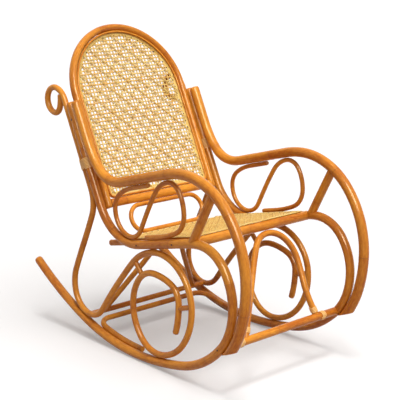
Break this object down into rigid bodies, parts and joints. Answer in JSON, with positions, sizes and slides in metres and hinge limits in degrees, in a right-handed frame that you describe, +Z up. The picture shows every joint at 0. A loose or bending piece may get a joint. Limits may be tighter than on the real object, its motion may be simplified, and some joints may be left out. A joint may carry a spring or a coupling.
{
  "type": "rocking chair",
  "caption": "Rocking chair of bent rattan poles with scrolled side frames on curved runners, woven cane seat and arched cane back.",
  "frame": {"origin": "on the floor, below the middle of the chair's length and width", "axes": "+X across the chair to the sitter's left, +Y to the rear, +Z up"},
  "size_m": [0.545, 1.056, 1.016],
  "materials": {
    "rattan": "lacquered honey brown rattan",
    "cane": "straw yellow woven cane",
    "binding": "pale cane strand",
    "nail": "dulled steel"
  },
  "bodies": {
    "root": {"back_arch": "rattan", "back_bottom_rail": "rattan", "back_cane": "cane", "back_trim": "rattan", "front_hoop": "rattan", "front_stretcher": "rattan", "left_arm_pole": "rattan", "left_arm_strut": "rattan", "left_frame_nails": "nail", "left_hoop_foot_binding": "binding", "left_main_pole": "rattan", "left_scroll": "rattan", "left_seat_side_rod": "rattan", "left_spiral_peg_lower": "rattan", "left_spiral_peg_upper": "rattan", "left_spiral_pole": "rattan", "left_stretcher_binding": "binding", "left_upright_binding": "binding", "lumbar_ring": "rattan", "rear_hoop": "rattan", "rear_stretcher": "rattan", "rear_u_stretcher": "rattan", "right_arm_pole": "rattan", "right_arm_strut": "rattan", "right_frame_nails": "nail", "right_hoop_foot_binding": "binding", "right_main_pole": "rattan", "right_scroll": "rattan", "right_seat_side_rod": "rattan", "right_spiral_peg_lower": "rattan", "right_spiral_peg_upper": "rattan", "right_spiral_pole": "rattan", "right_stretcher_binding": "binding", "right_upright_binding": "binding", "seat_cane": "cane", "seat_front_rail": "rattan", "seat_rear_rail": "rattan"}
  },
  "joints": []
}
